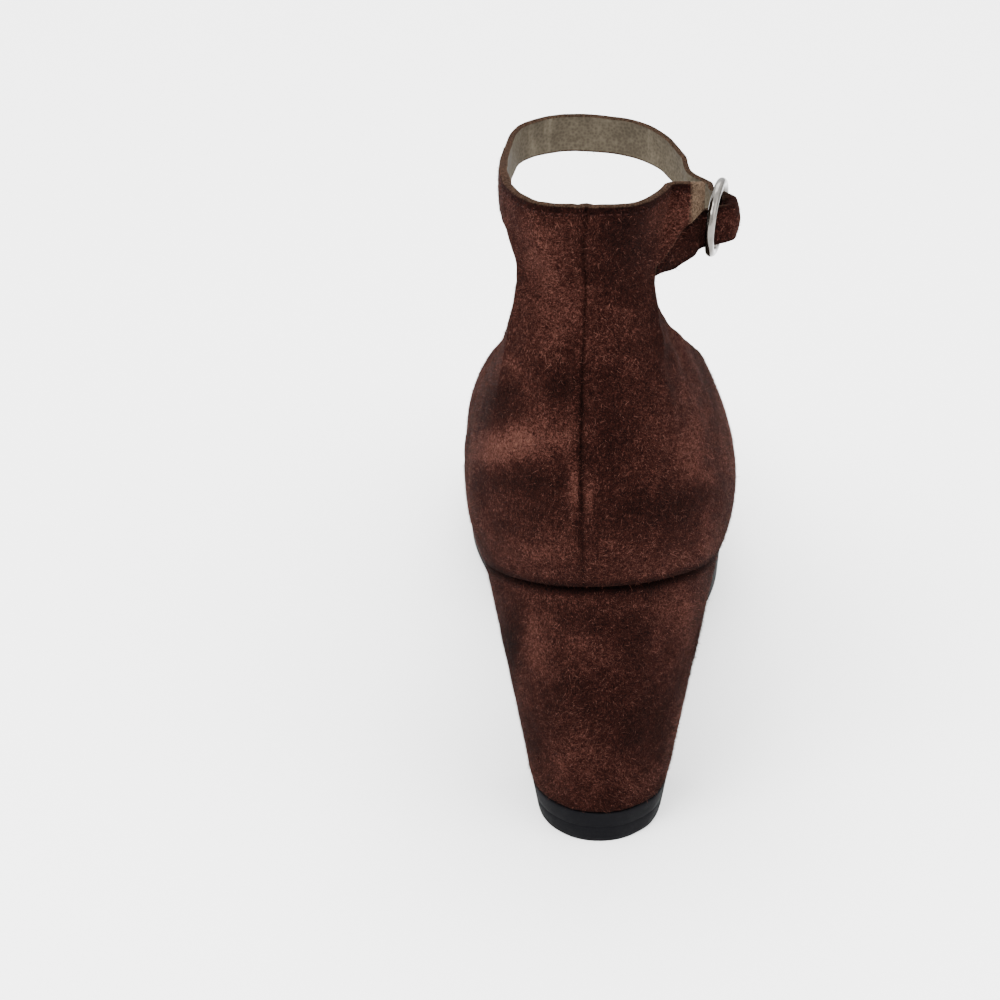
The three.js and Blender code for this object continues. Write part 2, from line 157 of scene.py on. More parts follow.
# station, inner x, outer x, y, z
TOP_LINE = np.array([
    (24, -19.6, 11.9, 14, 143), (28, -20.6, 12.9, 17, 135.8), (33, -21.8, 16, 22.5, 128.8),
    (40, -23.4, 20.2, 33, 120.5), (48, -25, 23, 47, 112.2), (60, -26.2, 24.4, 64, 103.2),
    (76, -25.6, 23.8, 82, 96), (94, -22.6, 19.6, 98, 90.6), (112, -17, 12, 111.5, 86.8),
    (122, -13, 6, 119, 85), (130, -9, 0, 123.6, 84), (136, -5, -5, 125, 83.5),
])
# station, x, y, z
RIDGE = np.array([
    (136, -5, 125, 83.5), (170, -7.5, 153, 71), (194, -9, 176, 62), (222, -10.5, 202, 53.5),
    (236, -11, 212, 50.5),
])
# station, inner flare, outer flare, rise, over, drop
SECTIONS = np.array([
    (0, 7.5, 7.5, 22, 8.7, 30), (20, 7.2, 7.4, 21, 7, 29), (34, 7.4, 6.4, 18.5, 7.4, 22),
    (46, 7.2, 6, 16.5, 9, 18), (70, 6.8, 5.2, 15, 7.5, 16), (94, 7, 4, 15, 8, 13),
    (112, 4.5, 3.5, 20, 12, 6), (136, 2, 2.5, 23, 17, 0.8), (170, 0.8, 1.5, 23, 20, 0),
    (194, 1, 1, 20.5, 18.5, 0), (222, 0.5, 0.5, 16, 15, 0), (236, 0, 0, 11, 13, 0),
])
# z, back y, edge y, inner x, outer x, squareness
NECK = np.array([
    (143, 6, 14, -19.6, 11.9, 2.2), (147, 6, 14.3, -19.8, 12, 2.4), (151, 5.6, 15, -21, 12.5, 2.8),
    (154.5, 5.2, 16.6, -22.2, 13.3, 3.3), (157.9, 4.7, 17.8, -22.8, 14.2, 3.7),
    (161.3, 4.3, 18.5, -22.9, 14.9, 4), (164.7, 4, 18.8, -23, 15.3, 4),
])
NECK_FOOT, EAR_LOW, STRAP_LOW, COLLAR = NECK[[0, 1, 3, -1], 0]
# middle line of the strap from its root to the ring: x, y, z
STRAP = np.array([
    (-22.4, 17.8, 159.6), (-24.2, 28, 159.8), (-23.6, 44, 159.6), (-20.4, 61, 159.4),
    (-10, 69.6, 159.1), (4.4, 68.4, 158.7), (13.2, 61, 158.2), (18.8, 50.6, 156), (20.4, 44.6, 154.2),
])
# along the strap, out of the ring's plane, up; nearer to the bar than in the solid
THREADED = np.array([
    (-8.6, -2.7, 0.6), (-6.2, -1.9, 0.5), (-4.3, 1.4, 0.3), (-2.2, 4.1, 0.1), (1.6, 4.3, -0.2),
    (4.2, 1, -0.6), (6.2, -2.3, -1.1), (8.6, -3.4, -2.2),
])
STRAP_TIP = np.array([(17.6, 21.7, 148.6), (12.2, 17.8, 145.3)])
# x, y, low z, high z
EAR_END = (20, 19.5, 155.6, 164.8)
EAR_TAB = (23, 25.3, 156.8, 162.8)
EAR_BEND = 0.8  # how far the ear follows the curve of the neck before it turns to the ring


def smooth(at, value):
    """Smooth curve through a table's column"""
    slope = np.zeros(len(value))
    slope[1:-1] = (value[2:] - value[:-2]) / (at[2:] - at[:-2])
    slope[0] = (value[1] - value[0]) / (at[1] - at[0])
    slope[-1] = (value[-1] - value[-2]) / (at[-1] - at[-2])

    def curve(x):
        i = np.clip(np.searchsorted(at, x) - 1, 0, len(at) - 2)
        span = at[i + 1] - at[i]
        t = np.clip((x - at[i]) / span, 0, 1)
        return ((2 * t**3 - 3 * t**2 + 1) * value[i] + (t**3 - 2 * t**2 + t) * span * slope[i]
                + (3 * t**2 - 2 * t**3) * value[i + 1] + (t**3 - t**2) * span * slope[i + 1])
    return curve


def smoothstep(x, low, high):
    """Soft step from 0 to 1 between two values"""
    t = np.clip((x - low) / (high - low), 0, 1)
    return t * t * (3 - 2 * t)


def columns(rows):
    """One smooth curve for each column after the first"""
    return [smooth(rows[:, 0], rows[:, i]) for i in range(1, rows.shape[1])]


feather_height, = columns(FEATHER)
underside_curve, = columns(UNDERSIDE)
top_inner_x, top_outer_x, top_y, top_z = columns(TOP_LINE)
ridge_x, ridge_y, ridge_z = columns(RIDGE)
inner_flare, outer_flare, rise_at, over_at, drop_at = columns(SECTIONS)
neck_back, neck_front, neck_inner, neck_outer, neck_square = columns(NECK)
wrap = OUTLINE[-2]
signed = np.vstack([
    [(-(2 * TOE_TIP - wrap[0]), wrap[3], wrap[4])],
    np.column_stack([-OUTLINE[:0:-1, 0], OUTLINE[:0:-1, 1], OUTLINE[:0:-1, 2]]),
    OUTLINE[:, [0, 3, 4]],
    [(2 * TOE_TIP - wrap[0], wrap[1], wrap[2])],
])
outline_x, outline_y = columns(signed)


def underside_height(y):
    """Height of the platform's tread and arch above the floor"""
    return np.maximum(underside_curve(y), 0)


def outward(station):
    """Level direction out of the last at a station of the feather line"""
    dx = outline_x(station + 0.5) - outline_x(station - 0.5)
    dy = outline_y(station + 0.5) - outline_y(station - 0.5)
    out = np.stack([dy, -dx, np.zeros_like(dx)], -1)
    return out / np.linalg.norm(out, axis=-1, keepdims=True)


def feather_point(station, inset=0.0):
    """Point on the canted feather line, moved in by an inset"""
    point = np.stack([outline_x(station), outline_y(station), np.zeros_like(station)], -1)
    point = point - outward(station) * inset
    fade = 1 - smoothstep(point[..., 1], BREAST_Y / 2, CANT_END)
    point[..., 2] = feather_height(point[..., 1]) + SEAT_CANT * fade * point[..., 0] / SEAT_HALF
    return point


def station_at(side, y):
    """Station of the inner (-1) or outer (1) side at a place along the shoe"""
    stations = np.linspace(0, THROAT, 4000)
    return side * float(np.interp(y, outline_y(side * stations), stations))


def neck_point(across, z):
    """Point on the neck, from its inner edge (-1) to its outer edge (1)"""
    x = neck_inner(z) + (neck_outer(z) - neck_inner(z)) * (across + 1) / 2
    y = neck_back(z) + (neck_front(z) - neck_back(z)) * np.abs(across) ** neck_square(z)
    return np.stack(np.broadcast_arrays(x, y, z), -1).astype(float)


def section_top(station):
    """Upper end of a wall section: neck, top line or ridge of the vamp"""
    s = np.abs(station)
    neck = neck_point(np.clip(station / NECK_EDGE, -1, 1), np.full_like(s, NECK[0, 0]))
    side = np.stack([np.where(station < 0, top_inner_x(s), top_outer_x(s)), top_y(s), top_z(s)], -1)
    ridge = np.stack([ridge_x(s), ridge_y(s), ridge_z(s)], -1)
    return np.where((s <= NECK_EDGE)[..., None], neck, np.where((s >= THROAT)[..., None], ridge, side))


def eased_top(station):
    """Section tops averaged over nearby stations, so that the wall turns softly"""
    shifts = np.linspace(-TOP_EASE, TOP_EASE, TOP_EASE_STEPS)
    return sum(section_top(station + shift) for shift in shifts) / TOP_EASE_STEPS


def seam_lift(station):
    """Raised lips of the back seam with its groove"""
    lips = SEAM_LIP * np.exp(-(((np.abs(station) - SEAM_LIP_AT) / SEAM_LIP_WIDE) ** 2))
    return lips - SEAM_LIP * np.exp(-((station / SEAM_GROOVE_WIDE) ** 2))


def wall_point(station, t):
    """Outer face of the lasted wall"""
    s = np.abs(station)
    out = outward(station)
    side = np.stack([np.sign(station), np.zeros_like(s), np.zeros_like(s)], -1)
    lean = np.where((s < HEEL_SIDE)[..., None], out, side)
    flare = np.where(station < 0, inner_flare(s), outer_flare(s))
    start = feather_point(station)
    end = section_top(station)
    first = start + out * flare[..., None]
    first[..., 2] += rise_at(s)
    second = eased_top(station) + lean * over_at(s)[..., None]
    second[..., 2] -= drop_at(s)
    t = t[..., None]
    point = (1 - t)**3 * start + 3 * t * (1 - t)**2 * first + 3 * t**2 * (1 - t) * second + t**3 * end
    return point + out * (seam_lift(station) * np.sin(np.pi * np.minimum(t[..., 0], 0.5)))[..., None]


rng = np.random.default_rng(7)


def ripple(points, wavelength, waves=14):
    """Soft random relief between about -1 and 1"""
    heading = rng.normal(size=(waves, 3))
    heading /= np.linalg.norm(heading, axis=1, keepdims=True)
    pace = 2 * np.pi / wavelength * rng.uniform(0.7, 1.4, waves)
    phase = rng.uniform(0, 2 * np.pi, waves)
    return np.sin(points @ (heading * pace[:, None]).T + phase).sum(1) / math.sqrt(waves * 2)


EYE = LOOK_AT + DISTANCE * np.array([
    math.sin(AZIMUTH) * math.cos(ELEVATION),
    -math.cos(AZIMUTH) * math.cos(ELEVATION),
    math.sin(ELEVATION),
])

# Lighter and darker places of the nap as seen from behind; some darker places are painted shade, such as the
# painted shadow along the heel's left edge:
# across and down in the picture, half width, half height, tilt in degrees, strength
PATCHES = np.array([
    (521, 443, 58, 18, -12, 1.0), (575, 482, 6, 24, 0, 0.9), (590, 497, 4, 14, 0, 0.7),
    (692, 450, 28, 34, 0, 0.4), (540, 258, 22, 42, 0, 0.45), (672, 220, 13, 20, 0, 0.3),
    (560, 316, 20, 26, 0, 0.25), (640, 330, 22, 26, 0, 0.15), (520, 374, 30, 9, 53, 0.45),
    (535, 642, 21, 48, 8, 0.6), (582, 655, 24, 40, 0, 0.25), (690, 640, 12, 60, -12, 0.4),
    (640, 607, 42, 12, 0, 0.25), (600, 760, 40, 26, 0, 0.15), (556, 770, 12, 30, 0, 0.25),
    (650, 775, 10, 26, 0, 0.2), (530, 548, 40, 9, 10, 0.2), (650, 560, 40, 9, -8, 0.15),
    (517, 480, 50, 14, 2, -0.75), (496, 402, 30, 20, -32, -0.85), (612, 440, 24, 44, 0, -0.4),
    (655, 505, 44, 24, 0, -0.5), (702, 492, 14, 10, 0, -0.4), (511, 642, 12, 34, 10, -1.3),
    (636, 652, 18, 22, 0, -0.55), (592, 622, 26, 9, 0, -0.35), (628, 236, 22, 36, 0, -0.5),
    (655, 318, 9, 36, 0, -0.35), (560, 384, 28, 18, 0, -0.5), (606, 300, 16, 50, 0, -0.25),
    (540, 520, 40, 14, 0, -0.25), (560, 705, 24, 18, 0, -0.3), (640, 720, 22, 26, 0, -0.35),
    (600, 800, 60, 9, 0, -0.25),
])


def picture_place(points):
    """Where points in millimetres are seen in the picture"""
    ahead = (LOOK_AT - EYE) / DISTANCE
    right = np.cross(ahead, [0, 0, 1])
    right /= np.linalg.norm(right)
    up = np.cross(right, ahead)
    offset = (points - MIDDLE) / 1000 - EYE
    depth = offset @ ahead
    across = PICTURE / 2 + FOCAL * (offset @ right) / depth
    down = PICTURE / 2 - FOCAL * (offset @ up) / depth
    return across, down


def facing(points, normals):
    """How far faces turn to the view of the photograph"""
    return ((EYE - (points - MIDDLE) / 1000) * normals).sum(1) / DISTANCE


def nap_and_shade_patches(points, normals):
    """Rubbed and dark shares of the nap, some of the dark being painted shade, on the faces that are seen
    from behind
    """
    u, v = picture_place(points)
    seen = smoothstep(facing(points, normals), -0.05, 0.25)
    total = np.zeros(len(points))
    for across, down, wide, tall, tilt, strength in PATCHES:
        c = math.cos(math.radians(tilt))
        s = math.sin(math.radians(tilt))
        a = (u - across) * c + (v - down) * s
        b = (v - down) * c - (u - across) * s
        total += strength * np.exp(-((a / wide) ** 2) - (b / tall) ** 2)
    total *= seen
    return np.maximum(total, 0), np.maximum(-total, 0)


# Creases of the quarter as seen from behind: start, end, half width in the picture, depth in millimetres
CREASES = np.array([
    (668, 322, 690, 377, 4.5, 0.75), (683, 326, 704, 374, 4, 0.6), (697, 352, 711, 390, 3.5, 0.5),
    (660, 352, 676, 392, 4, 0.3), (548, 322, 528, 362, 5, 0.35), (560, 338, 540, 372, 4, 0.25),
    (541, 205, 547, 262, 4, 0.3), (556, 226, 559, 270, 3.5, 0.2),
])


def crease_relief(points, normals):
    """Soft troughs, each with a low ridge beside it"""
    u, v = picture_place(points)
    seen = smoothstep(facing(points, normals), 0.0, 0.3)
    total = np.zeros(len(points))
    for u0, v0, u1, v1, wide, depth in CREASES:
        long = math.hypot(u1 - u0, v1 - v0)
        a = ((u - u0) * (u1 - u0) + (v - v0) * (v1 - v0)) / long
        b = ((v - v0) * (u1 - u0) - (u - u0) * (v1 - v0)) / long
        ends = smoothstep(a, -0.15 * long, 0.3 * long) * (1 - smoothstep(a, 0.7 * long, 1.15 * long))
        b = b + 1.5 * np.sin(a * 0.16 + u0)
        total += depth * ends * (0.55 * np.exp(-(((b - 2 * wide) / wide) ** 2)) - np.exp(-((b / wide) ** 2)))
    return total * seen


WELD_STEPS = 200  # steps in a millimetre to which points are rounded before they are joined


class Surface:
    """Quads gathered from grids that share their edges"""

    def __init__(self):
        self.points = np.zeros((0, 3))
        self.quads = np.zeros((0, 4), int)
        self.marks = {}

    def grid(self, points, **marks):
        rows, cols = points.shape[:2]
        base = len(self.points)
        ids = base + np.arange(rows * cols).reshape(rows, cols)
        quads = np.stack([ids[:-1, :-1], ids[1:, :-1], ids[1:, 1:], ids[:-1, 1:]], -1).reshape(-1, 4)
        self.points = np.vstack([self.points, points.reshape(-1, 3)])
        self.quads = np.vstack([self.quads, quads])
        for name in set(self.marks) | set(marks):
            old = self.marks.get(name, np.zeros(base))
            new = np.broadcast_to(marks.get(name, 0.0), (rows, cols)).reshape(-1)
            self.marks[name] = np.concatenate([old, new])

    def weld(self):
        keys = np.round(self.points * WELD_STEPS).astype(np.int64)
        _, first, where = np.unique(keys, axis=0, return_index=True, return_inverse=True)
        self.points = self.points[first]
        self.marks = {name: values[first] for name, values in self.marks.items()}
        self.quads = where.reshape(-1)[self.quads]

    def normals(self):
        p = self.points[self.quads]
        face = np.cross(p[:, 2] - p[:, 0], p[:, 3] - p[:, 1])
        normal = np.zeros_like(self.points)
        for k in range(4):
            np.add.at(normal, self.quads[:, k], face)
        return normal / np.maximum(np.linalg.norm(normal, axis=1, keepdims=True), 1e-9)

    def border(self):
        """Open edges, with each one's face on its left"""
        edges = np.vstack([self.quads[:, [k, (k + 1) % 4]] for k in range(4)])
        edges = edges[edges[:, 0] != edges[:, 1]]
        known = {tuple(e) for e in edges.tolist()}
        return np.array([e for e in edges.tolist() if (e[1], e[0]) not in known])


def mesh_piece(name, points, faces, material, node, marks=None):
    """A smooth piece in the part's frame from points in millimetres"""
    mesh = bpy.data.meshes.new(name)
    polygons = []
    for face in faces:
        corners = list(dict.fromkeys(int(i) for i in face))
        if len(corners) > 2:
            polygons.append(corners)
    mesh.from_pydata(((np.asarray(points) - MIDDLE) / 1000).tolist(), [], polygons)
    for key, values in (marks or {}).items():
        mesh.attributes.new(key, "FLOAT", "POINT").data.foreach_set("value", np.asarray(values, np.float32))
    mesh.polygons.foreach_set("use_smooth", [True] * len(mesh.polygons))
    mesh.materials.append(material)
    mesh.update()
    piece = bpy.data.objects.new(name, mesh)
    bpy.context.scene.collection.objects.link(piece)
    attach(piece, "root")
    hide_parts(node)


# Materials
def new_group(name, inputs, outputs):
    """An empty node group with its named sockets"""
    tree = bpy.data.node_groups.new(name, "ShaderNodeTree")
    for socket, kind in inputs:
        tree.interface.new_socket(socket, in_out="INPUT", socket_type=kind)
    for socket, kind in outputs:
        tree.interface.new_socket(socket, in_out="OUTPUT", socket_type=kind)
    return tree, tree.nodes.new("NodeGroupInput"), tree.nodes.new("NodeGroupOutput")


def add(tree, kind, settings=None, **links):
    """A node with its settings, its inputs set or linked by name"""
    made = tree.nodes.new(kind)
    for key, value in (settings or {}).items():
        setattr(made, key, value)
    for key, value in links.items():
        key = int(key[1:]) if key[0] == "i" and key[1:].isdigit() else key.replace("_", " ")
        socket = made.inputs[key]
        if isinstance(value, bpy.types.NodeSocket):
            tree.links.new(value, socket)
        else:
            socket.default_value = value
    return made


def noise(tree, vector, scale, detail=3.0, rough=0.55):
    """Value of a noise texture"""
    made = add(tree, "ShaderNodeTexNoise", Vector=vector, Scale=scale, Detail=detail, Roughness=rough)
    return made.outputs[0]


def math_node(tree, operation, a, b=0.0, c=0.0):
    made = add(tree, "ShaderNodeMath", {"operation": operation}, i0=a, i1=b)
    if operation == "MULTIPLY_ADD":
        made.inputs[2].default_value = c
    return made.outputs[0]


def mixed_in(tree, tone, value, weight, operation="ADD"):
    """A tone with a weighted value added or taken off"""
    return math_node(tree, operation, tone, math_node(tree, "MULTIPLY", value, weight))


def stretched(tree, place, scale):
    """Texture place drawn out along some axes"""
    return add(tree, "ShaderNodeMapping", Vector=place, Scale=scale).outputs[0]


def span(tree, value, low, high, to_low=0.0, to_high=1.0):
    """A value eased from one range to another"""
    made = add(tree, "ShaderNodeMapRange", {"interpolation_type": "SMOOTHSTEP"}, Value=value)
    for i, v in enumerate((low, high, to_low, to_high)):
        made.inputs[i + 1].default_value = v
    return made.outputs[0]


def ramp(tree, value, stops):
    """A value turned into a colour by a list of stops"""
    made = add(tree, "ShaderNodeValToRGB", Fac=value)
    elements = made.color_ramp.elements
    while len(elements) < len(stops):
        elements.new(0.5)
    for element, (at, colour) in zip(elements, stops):
        element.position = at
        element.color = (*colour, 1)
    return made.outputs[0]


def srgb(r, g, b):
    """Linear colour from display values of 0 to 255"""
    return tuple((c / 255 / 12.92) if c < 11 else ((c / 255 + 0.055) / 1.055) ** 2.4 for c in (r, g, b))


def suede_group():
    """Brushed nap: patches where the pile lies over, curled clumps of fibre and fine grain"""
    tree, given, result = new_group(
        "suede nap", [("Rub and highlight", "NodeSocketFloat"), ("Dark", "NodeSocketFloat"), ("Raw", "NodeSocketFloat")],
        [("Color", "NodeSocketColor"), ("Height", "NodeSocketFloat")])
    place = add(tree, "ShaderNodeTexCoord").outputs["Object"]
    patch = span(tree, noise(tree, place, 60.0, 5.0, 0.55), 0.3, 0.7)
    mottle = span(tree, noise(tree, place, 260.0, 3.0, 0.65), 0.3, 0.7)
    curl = add(tree, "ShaderNodeTexNoise",
               Vector=place, Scale=2000.0, Detail=3.0, Roughness=0.65, Distortion=1.2)
    clump = span(tree, curl.outputs[0], 0.34, 0.66)
    grain = noise(tree, place, 3800.0, 2.0, 0.6)
    tone = math_node(tree, "MULTIPLY", patch, 0.18)
    for value, weight in ((mottle, 0.12), (clump, 0.42), (grain, 0.56), (given.outputs["Rub and highlight"], 0.34)):
        tone = mixed_in(tree, tone, value, weight)
    tone = mixed_in(tree, tone, given.outputs["Dark"], 0.34, "SUBTRACT")
    colour = ramp(tree, math_node(tree, "MULTIPLY", tone, 0.75), [
        (0.12, srgb(3, 1, 1)), (0.345, srgb(17, 5, 4)), (0.518, srgb(30, 11, 8)), (0.75, srgb(66, 39, 33)),
        (1.0, srgb(92, 61, 52))])
    raw = ramp(tree, clump, [(0.1, srgb(50, 40, 31)), (0.8, srgb(94, 78, 63))])
    both = add(tree, "ShaderNodeMix", {"data_type": "RGBA"})
    tree.links.new(given.outputs["Raw"], both.inputs[0])
    tree.links.new(colour, both.inputs[6])
    tree.links.new(raw, both.inputs[7])
    height = mixed_in(tree, math_node(tree, "MULTIPLY", clump, 0.65), grain, 0.35)
    tree.links.new(both.outputs[2], result.inputs["Color"])
    tree.links.new(height, result.inputs["Height"])
    return tree


def leather_group():
    """Smooth lining leather: fine pores, soft blotches, and handling marks and painted shade that darken it
    """
    tree, given, result = new_group(
        "lining grain", [("Wear and shade", "NodeSocketFloat")],
        [("Color", "NodeSocketColor"), ("Roughness", "NodeSocketFloat"), ("Height", "NodeSocketFloat")])
    place = add(tree, "ShaderNodeTexCoord").outputs["Object"]
    blotch = noise(tree, place, 90.0, 4.0, 0.6)
    pore = add(tree, "ShaderNodeTexVoronoi", Vector=place, Scale=1400.0).outputs["Distance"]
    tone = math_node(tree, "MULTIPLY_ADD", blotch, 0.5, 0.2)
    tone = mixed_in(tree, tone, pore, 0.2)
    drawn = stretched(tree, place, (1, 0.12, 0.1))
    streak = span(tree, noise(tree, drawn, 260.0, 3.0, 0.6), 0.52, 0.72)
    tone = mixed_in(tree, tone, streak, 0.2)
    tone = mixed_in(tree, tone, given.outputs["Wear and shade"], 0.3, "SUBTRACT")
    colour = ramp(tree, tone, [(0.15, srgb(34, 28, 21)), (0.5, srgb(55, 49, 40)), (0.85, srgb(86, 79, 67))])
    tree.links.new(colour, result.inputs["Color"])
    tree.links.new(span(tree, blotch, 0.3, 0.7, 0.7, 0.9), result.inputs["Roughness"])
    tree.links.new(pore, result.inputs["Height"])
    return tree


def black_group():
    """Black rubber: moulded grain, dust and scuffs"""
    tree, given, result = new_group(
        "black rubber", [("Scuff", "NodeSocketFloat")],
        [("Color", "NodeSocketColor"), ("Roughness", "NodeSocketFloat"), ("Height", "NodeSocketFloat")])
    place = add(tree, "ShaderNodeTexCoord").outputs["Object"]
    grain = noise(tree, place, 2400.0, 2.0, 0.6)
    cloud = noise(tree, place, 130.0, 5.0, 0.65)
    scratch = noise(tree, stretched(tree, place, (1, 1, 14)), 160.0, 3.0, 0.7)
    dust = math_node(tree, "MULTIPLY", span(tree, cloud, 0.5, 0.78), 0.35)
    dust = mixed_in(tree, dust, span(tree, scratch, 0.62, 0.74), 0.25)
    dust = mixed_in(tree, dust, given.outputs["Scuff"], 0.5)
    colour = ramp(tree, dust, [(0.0, srgb(4, 4, 6)), (0.5, srgb(11, 11, 13)), (1.0, srgb(44, 42, 41))])
    tree.links.new(colour, result.inputs["Color"])
    tree.links.new(span(tree, cloud, 0.3, 0.7, 0.62, 0.82), result.inputs["Roughness"])
    tree.links.new(grain, result.inputs["Height"])
    return tree


def metal_group():
    """Polished ring: fine handling scratches and dull patches"""
    tree, _, result = new_group(
        "ring polish", [], [("Color", "NodeSocketColor"), ("Roughness", "NodeSocketFloat")])
    place = add(tree, "ShaderNodeTexCoord").outputs["Object"]
    dull = noise(tree, place, 300.0, 4.0, 0.6)
    hair = noise(tree, stretched(tree, place, (1, 8, 1)), 900.0, 3.0, 0.7)
    colour = ramp(tree, dull, [(0.3, srgb(74, 71, 68)), (0.7, srgb(112, 109, 104))])
    tree.links.new(colour, result.inputs["Color"])
    wear_and_shade = span(tree, dull, 0.35, 0.75, 0.12, 0.24)
    mark = math_node(tree, "ADD", wear_and_shade, span(tree, hair, 0.6, 0.75, 0.0, 0.14))
    tree.links.new(mark, result.inputs["Roughness"])
    return tree


NAP = suede_group()
GRAIN = leather_group()
RUBBER = black_group()
POLISH = metal_group()
NAP_MARKS = {"Rub and highlight": "rub", "Dark": "dark", "Raw": "raw"}


def new_material(name, group, marks, bump, distance, **shader):
    """A material around a node group, with a piece's marks led into it and its height as fine relief"""
    material = bpy.data.materials.new(name)
    material.use_nodes = True
    tree = material.node_tree
    tree.nodes.clear()
    body = add(tree, "ShaderNodeBsdfPrincipled", **shader)
    add(tree, "ShaderNodeOutputMaterial", Surface=body.outputs[0])
    effect = add(tree, "ShaderNodeGroup", {"node_tree": group})
    for socket, key in marks.items():
        read = add(tree, "ShaderNodeAttribute", {"attribute_name": key})
        tree.links.new(read.outputs["Fac"], effect.inputs[socket])
    tree.links.new(effect.outputs["Color"], body.inputs["Base Color"])
    if "Roughness" in effect.outputs:
        tree.links.new(effect.outputs["Roughness"], body.inputs["Roughness"])
    if bump:
        height = effect.outputs["Height"]
        relief = add(tree, "ShaderNodeBump", Strength=bump, Distance=distance, Height=height)
        tree.links.new(relief.outputs[0], body.inputs["Normal"])
    return material


SUEDE = new_material("brown suede", NAP, NAP_MARKS, 0.8, 0.0007, Roughness=0.95, Specular_IOR_Level=0.02,
                     Sheen_Weight=0.03, Sheen_Roughness=0.4, Sheen_Tint=(*srgb(190, 120, 100), 1))
THREAD = new_material("dark thread", NAP, NAP_MARKS, 0.4, 0.0002, Roughness=0.8, Specular_IOR_Level=0.05)
LINING = new_material("taupe lining leather", GRAIN, {"Wear and shade": "wear_and_shade"}, 0.2, 0.0003, Specular_IOR_Level=0.05)
BLACK = new_material("black rubber", RUBBER, {"Scuff": "scuff"}, 0.15, 0.0002, Specular_IOR_Level=0.06)
SILVER = new_material("silver ring", POLISH, {}, 0, 0, Metallic=1.0)


# Upper
STRAP_LEVEL, EAR_LEVEL = 2, 3  # marks on the surface: wall 0 to 1, neck from 1, strap from 2, ear 3


def upper_surface():
    """Outer face of wall, neck, strap and ear, joined along their shared edges"""
    near = np.concatenate([np.arange(0.25, 6, 0.25), np.arange(6, NECK_EDGE, 0.75)])
    side = np.concatenate([near, np.arange(NECK_EDGE, THROAT, 0.8), np.linspace(THROAT, TOE_OPENING, 112)])
    stations = np.concatenate([-side[::-1], [0.0], side])
    levels = np.linspace(0, 1, 104)
    s, t = np.meshgrid(stations, levels, indexing="ij")
    surface = Surface()
    surface.grid(wall_point(s, t), station=s, level=t)

    back = stations[np.abs(stations) <= NECK_EDGE]
    heights = np.concatenate([
        np.linspace(NECK_FOOT, EAR_LOW, 6),
        np.linspace(EAR_LOW, STRAP_LOW, 11)[1:],
        np.linspace(STRAP_LOW, COLLAR, 15)[1:],
    ])
    s, z = np.meshgrid(back, heights, indexing="ij")
    neck = neck_point(s / NECK_EDGE, z) + outward(s) * seam_lift(s)[..., None]
    surface.grid(neck, station=s, level=1 + (z - NECK_FOOT) / 60)

    # strap
    along = np.array([RING_TURN, -math.sqrt(1 - RING_TURN**2), 0])
    out = np.array([-along[1], along[0], 0])
    threaded = RING + THREADED[:, [0]] * along + THREADED[:, [1]] * out + THREADED[:, [2]] * [0, 0, 1]
    run = np.vstack([STRAP, threaded, STRAP_TIP])
    length = np.concatenate([[0], np.cumsum(np.linalg.norm(np.diff(run, axis=0), axis=1))])
    d = np.linspace(0, length[-1], 300)
    middle = np.stack([smooth(length, run[:, i])(d) for i in range(3)], -1)
    rows = heights[heights >= STRAP_LOW - 1e-6]
    across = np.linspace(-0.5, 0.5, len(rows))
    width = STRAP_ROOT_WIDTH + (STRAP_WIDTH - STRAP_ROOT_WIDTH) * smoothstep(d, 0, STRAP_NARROWS)
    width = width * (1 - TIP_NARROW * smoothstep(d, length[-1] - TIP_LENGTH, length[-1]))
    blend = 1 - smoothstep(d, 0, STRAP_BLEND)
    root = neck_point(-1.0, rows) - middle[0]
    root[:, 2] -= across * STRAP_ROOT_WIDTH
    strap = middle[:, None] + width[:, None, None] * across[None, :, None] * [0, 0, 1]
    strap = strap + blend[:, None, None] * root[None]
    crowned = smoothstep(d, 6, 20)[::-1, None] * np.ones(len(rows))
    turn = (length[len(STRAP) + 3] + length[len(STRAP) + 4]) / 2
    loop = np.exp(-(((d - turn) / 5) ** 4))[::-1, None] * np.ones(len(rows))
    free = smoothstep(d, turn + 4, turn + 9)[::-1, None] * np.ones(len(rows))
    level = STRAP_LEVEL + (d / length[-1])[::-1, None] * np.ones(len(rows))
    surface.grid(strap[::-1], level=level, strap=crowned, across=across[None] * np.ones((len(d), 1)),
                 loop=loop, free=free)

    # ear
    rows = heights[heights >= EAR_LOW - 1e-6]
    root = neck_point(1.0, rows)
    even = np.linspace(0, 1, len(rows))
    end, tab = (
        np.stack([np.full_like(even, x), np.full_like(even, y), low + (high - low) * even], -1)
        for x, y, low, high in (EAR_END, EAR_TAB))
    t = np.linspace(0, 1, 11)[:, None]
    straight = end - root
    leave = root - neck_point(0.96, rows)
    leave *= np.linalg.norm(straight, axis=1, keepdims=True) / np.linalg.norm(leave, axis=1, keepdims=True)
    bend = (t * (1 - t) ** 2)[..., None]
    body = root[None] + straight[None] * t[..., None] + (leave - straight)[None] * bend * EAR_BEND
    body[..., 2] = root[:, 2] + (end[:, 2] - root[:, 2]) * smoothstep(t, 0, 1)
    t2 = np.linspace(0, 1, 9)[1:, None]
    ear = np.concatenate([body, end[None] + (tab - end)[None] * t2[..., None]])
    surface.grid(ear, level=EAR_LEVEL, ear=np.concatenate([t, 1 + t2]) * np.ones(len(rows)))
    surface.weld()
    return surface


def bump_at(value, centre, width):
    """Soft hump of 1 around a value"""
    return np.exp(-(((value - centre) / width) ** 2))


